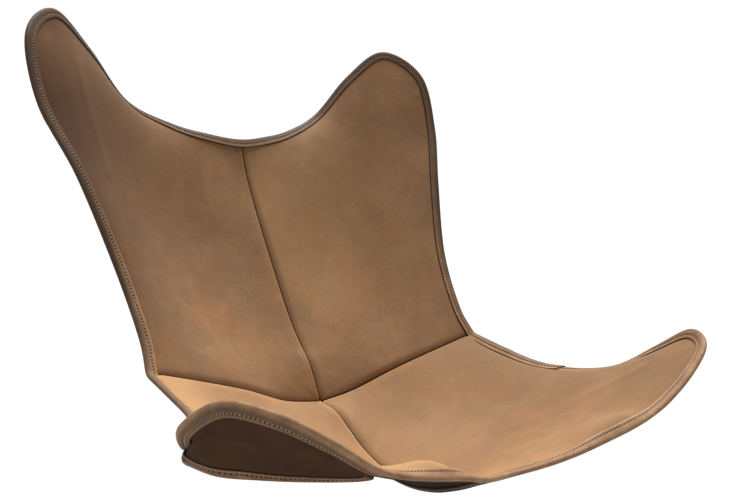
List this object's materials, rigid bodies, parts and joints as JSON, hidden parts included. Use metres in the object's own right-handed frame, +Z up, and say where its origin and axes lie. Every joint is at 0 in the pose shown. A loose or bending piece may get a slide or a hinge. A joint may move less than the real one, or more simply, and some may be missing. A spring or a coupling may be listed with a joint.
{
  "type": "butterfly chair sling seat",
  "caption": "Leather sling seat for a butterfly chair, sewn from back and seat panels, with a pocket under each wing that slips over a corner of the frame.",
  "frame": {"origin": "on the middle plane of the sling, midway between the four corners of the frame that hold it", "axes": "+Z up, -Y the way the sitter faces, +X the sitter's left"},
  "size_m": [0.8334, 0.785, 0.6102],
  "materials": {
    "panel_leather": "oiled nubuck, mottled tan brown",
    "pocket_leather": "flesh side, dark brown and matt",
    "binding_leather": "folded strip, darker along its outer edge",
    "tape_leather": "flat strip, matt"
  },
  "bodies": {
    "root": {"back_panel_left": "panel_leather", "back_panel_right": "panel_leather", "seat_panel_left": "panel_leather", "seat_panel_right": "panel_leather", "rear_pocket_left": "pocket_leather", "rear_pocket_right": "pocket_leather", "front_pocket_left": "pocket_leather", "front_pocket_right": "pocket_leather", "rear_pocket_hem_left": "binding_leather", "rear_pocket_hem_right": "binding_leather", "front_pocket_hem_left": "binding_leather", "front_pocket_hem_right": "binding_leather", "back_seam_tape": "tape_leather", "seat_seam_tape": "tape_leather", "waist_seam_tape": "tape_leather", "edge_binding_back": "binding_leather", "edge_binding_front": "binding_leather"}
  },
  "joints": []
}
